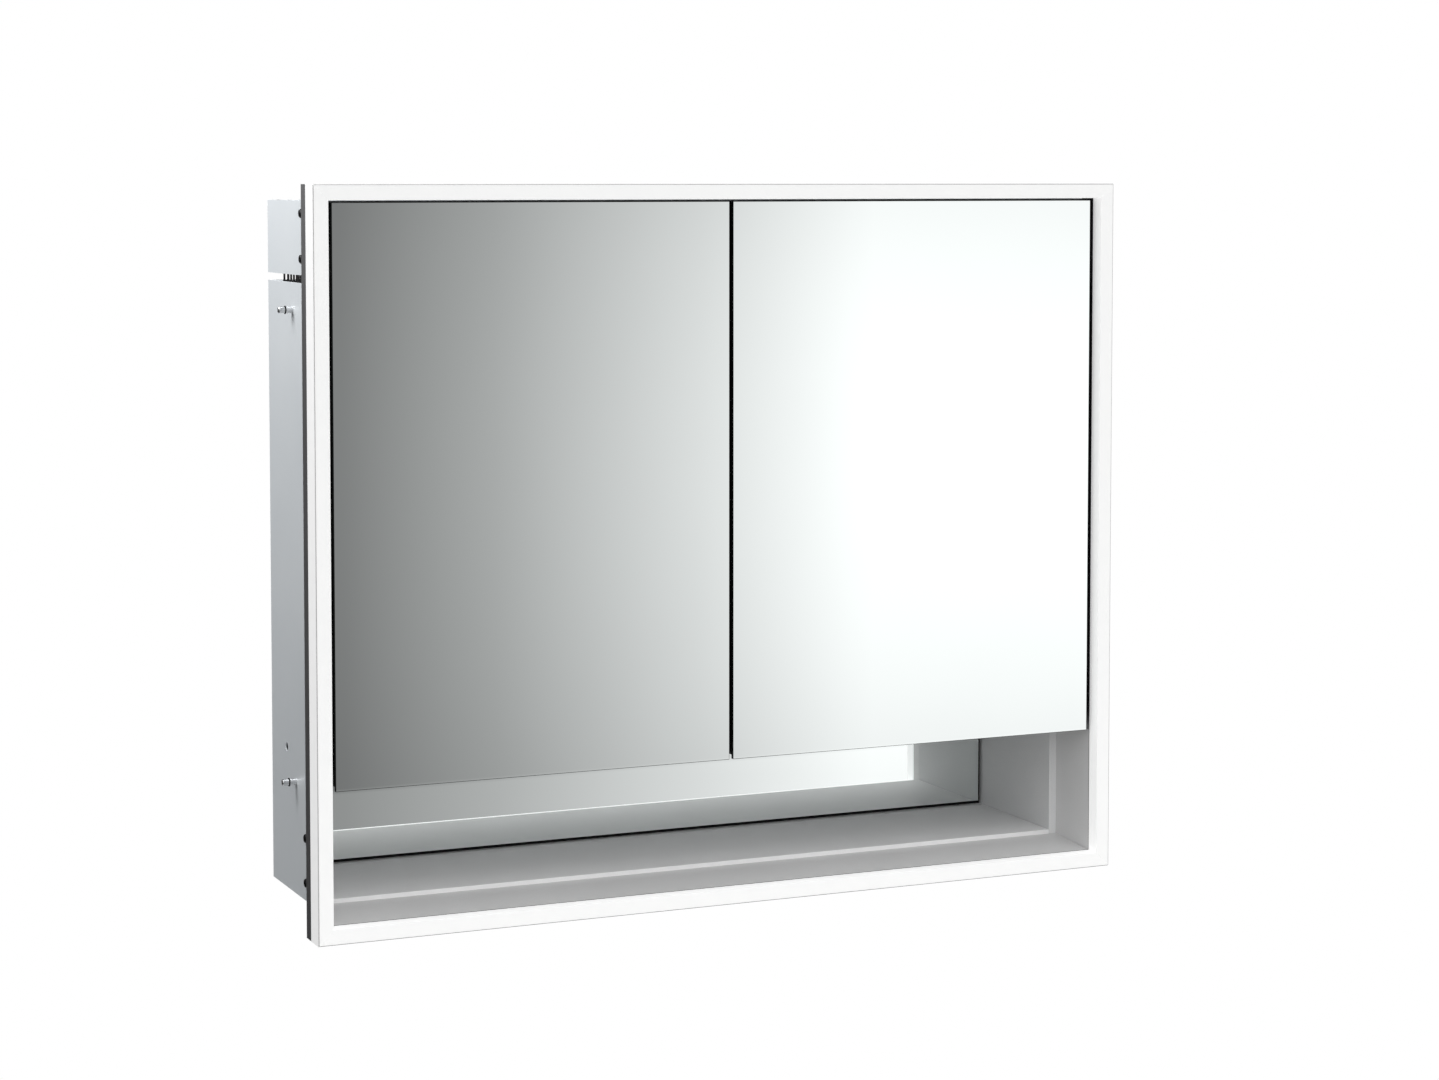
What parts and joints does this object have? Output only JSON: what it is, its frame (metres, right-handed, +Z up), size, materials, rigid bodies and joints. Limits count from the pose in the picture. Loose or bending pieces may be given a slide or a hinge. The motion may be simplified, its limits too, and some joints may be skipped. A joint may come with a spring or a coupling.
{
  "type": "medicine cabinet with mirror",
  "caption": "Wall-recessed bathroom mirror cabinet: hinged double-sided mirror doors in an all-round opal light frame, with an open mirrored niche below and glass shelves inside.",
  "frame": {"origin": "middle of the light frame's lower edge, on the wall plane (the back of the frame's flange)", "axes": "+X to the viewer's right along the width, +Y into the wall, +Z up"},
  "size_m": [0.8092, 0.2078, 0.67],
  "materials": {
    "opal_acrylic": "satin",
    "anodised_aluminium": "satin",
    "coated_sheet": "satin",
    "grey_aluminium": "satin",
    "lacquered_board": "lacquered",
    "silvered_glass": "polished",
    "door_aluminium": "satin",
    "door_board": "plain",
    "shelf_glass": "polished",
    "zinc_steel": "plated",
    "dark_screws": "satin",
    "black_rubber": "matte",
    "clear_buffer": "soft",
    "bronze_bush": "plain",
    "white_nylon": "plain",
    "electric_white": "moulded",
    "switch_black": "moulded",
    "led_tape": "coated"
  },
  "bodies": {
    "cabinet": {"back_panel": "coated_sheet", "bottom_panel": "coated_sheet", "cable_gland": "black_rubber", "carcass_top": "coated_sheet", "corner_keys": "zinc_steel", "door_buffers": "clear_buffer", "door_magnets": "dark_screws", "frame_brackets": "zinc_steel", "frame_profile_bottom": "anodised_aluminium", "frame_profile_left": "anodised_aluminium", "frame_profile_right": "anodised_aluminium", "frame_profile_top": "anodised_aluminium", "frame_screws": "dark_screws", "glass_shelves": "shelf_glass", "hanging_pins": "zinc_steel", "led_driver": "electric_white", "led_strips": "led_tape", "light_diffuser_bottom": "opal_acrylic", "light_diffuser_left": "opal_acrylic", "light_diffuser_right": "opal_acrylic", "light_diffuser_top": "opal_acrylic", "light_switch": "switch_black", "lower_pivot_brackets": "zinc_steel", "middle_floor": "lacquered_board", "niche_box": "coated_sheet", "niche_floor": "grey_aluminium", "niche_lining_left": "lacquered_board", "niche_lining_right": "lacquered_board", "niche_mirror": "silvered_glass", "niche_reveal_bottom": "grey_aluminium", "niche_reveal_sides": "grey_aluminium", "pin_collars": "black_rubber", "pivot_pins": "zinc_steel", "pivot_washers": "white_nylon", "room_ceiling": "lacquered_board", "room_light": "opal_acrylic", "room_lining_left": "lacquered_board", "room_lining_right": "lacquered_board", "room_mirror": "silvered_glass", "service_fascia": "grey_aluminium", "service_housing": "coated_sheet", "shelf_pegs": "zinc_steel", "side_panel_left": "coated_sheet", "side_panel_right": "coated_sheet", "socket_outlet": "electric_white", "terminal_block": "white_nylon", "upper_pivot_brackets": "zinc_steel", "vent_combs": "black_rubber"},
    "left_door": {"left_door_bushes": "bronze_bush", "left_door_core": "door_board", "left_door_mirror": "silvered_glass", "left_door_rear_mirror": "silvered_glass", "left_door_rim": "door_aluminium", "left_door_strike": "zinc_steel"},
    "right_door": {"right_door_bushes": "bronze_bush", "right_door_core": "door_board", "right_door_mirror": "silvered_glass", "right_door_rear_mirror": "silvered_glass", "right_door_rim": "door_aluminium", "right_door_strike": "zinc_steel"},
    "button": {"light_button": "electric_white"}
  },
  "joints": [
    {"name": "left_door_hinge", "type": "hinge", "parent": "cabinet", "child": "left_door", "pos_m": [-0.372, -0.017, 0.394], "axis": [0, 0, -1], "range_deg": [0, 100]},
    {"name": "right_door_hinge", "type": "hinge", "parent": "cabinet", "child": "right_door", "pos_m": [0.372, -0.017, 0.394], "axis": [0, 0, 1], "range_deg": [0, 100]},
    {"name": "light_button_push", "type": "slide", "parent": "cabinet", "child": "button", "axis": [0, 1, 0], "range_m": [0, 0.0015], "stiffness_N_per_m": 400, "springref_m": -0.001}
  ]
}
